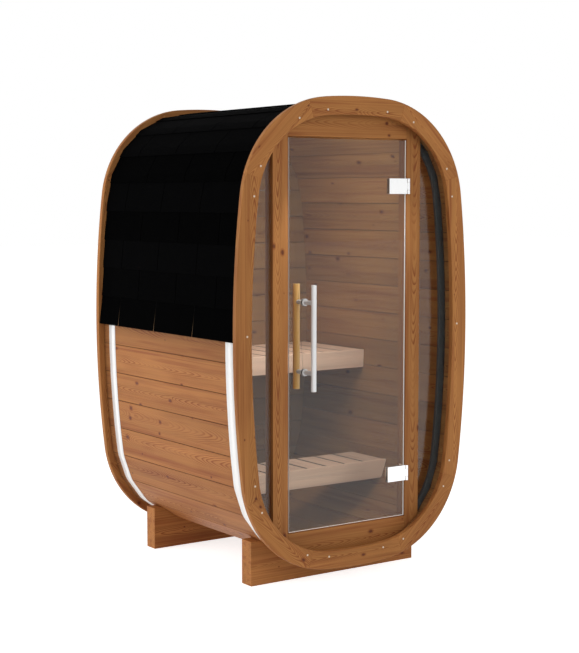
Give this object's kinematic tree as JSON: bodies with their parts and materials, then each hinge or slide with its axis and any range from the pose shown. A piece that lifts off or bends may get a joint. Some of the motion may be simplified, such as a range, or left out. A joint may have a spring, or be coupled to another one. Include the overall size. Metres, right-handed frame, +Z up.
{
  "type": "outdoor barrel sauna",
  "caption": "Tall rounded barrel sauna of wooden staves between end rings, with a shingled roof, hinged glass door, side glass and stepped benches, on cradle bearers.",
  "frame": {"origin": "on the ground under the middle of the whole object's box", "axes": "+Z up, +X to the right seen from the front, +Y from the door to the rear wall"},
  "size_m": [1.226, 1.2177, 2.06],
  "materials": {
    "stave_wood": "planed heat-treated pine, oiled",
    "ring_wood": "planed heat-treated pine, oiled",
    "bench_wood": "smooth pale hardwood, untreated",
    "steel": "polished stainless steel",
    "shingle": "black bitumen felt with mineral grit",
    "trim": "matt dark grey",
    "clear_glass": "clear toughened glass",
    "grip_wood": "turned and oiled"
  },
  "bodies": {
    "cabin": {"front_bearer": "ring_wood", "rear_bearer": "ring_wood", "floor_staves": "stave_wood", "lower_left_staves": "stave_wood", "left_wall_staves": "stave_wood", "upper_left_staves": "stave_wood", "roof_staves": "stave_wood", "upper_right_staves": "stave_wood", "right_wall_staves": "stave_wood", "lower_right_staves": "stave_wood", "front_ring_corners": "ring_wood", "front_ring_rails": "ring_wood", "rear_ring_corners": "ring_wood", "rear_ring_rails": "ring_wood", "front_band": "steel", "rear_band": "steel", "left_shingles": "shingle", "right_shingles": "shingle", "ridge_cap": "shingle", "back_wall": "stave_wood", "left_post": "ring_wood", "right_post": "ring_wood", "door_head": "ring_wood", "door_sill": "ring_wood", "left_side_glass": "clear_glass", "right_side_glass": "clear_glass", "left_glass_trim": "trim", "right_glass_trim": "trim", "upper_bench_fascia": "bench_wood", "upper_bench_slats": "bench_wood", "upper_bench_rails": "bench_wood", "lower_bench_fascia": "bench_wood", "lower_bench_slats": "bench_wood", "lower_bench_rails": "bench_wood", "upper_hinge_leaf": "steel", "lower_hinge_leaf": "steel"},
    "door": {"door_glass": "clear_glass", "upper_hinge_clamp": "steel", "lower_hinge_clamp": "steel", "outer_handle": "steel", "inner_handle": "grip_wood", "handle_spindles": "steel"}
  },
  "joints": [
    {"name": "door_hinge", "type": "hinge", "parent": "cabin", "child": "door", "pos_m": [0.32, -0.54112, 1], "axis": [0, 0, 1], "range_deg": [0, 110]}
  ]
}
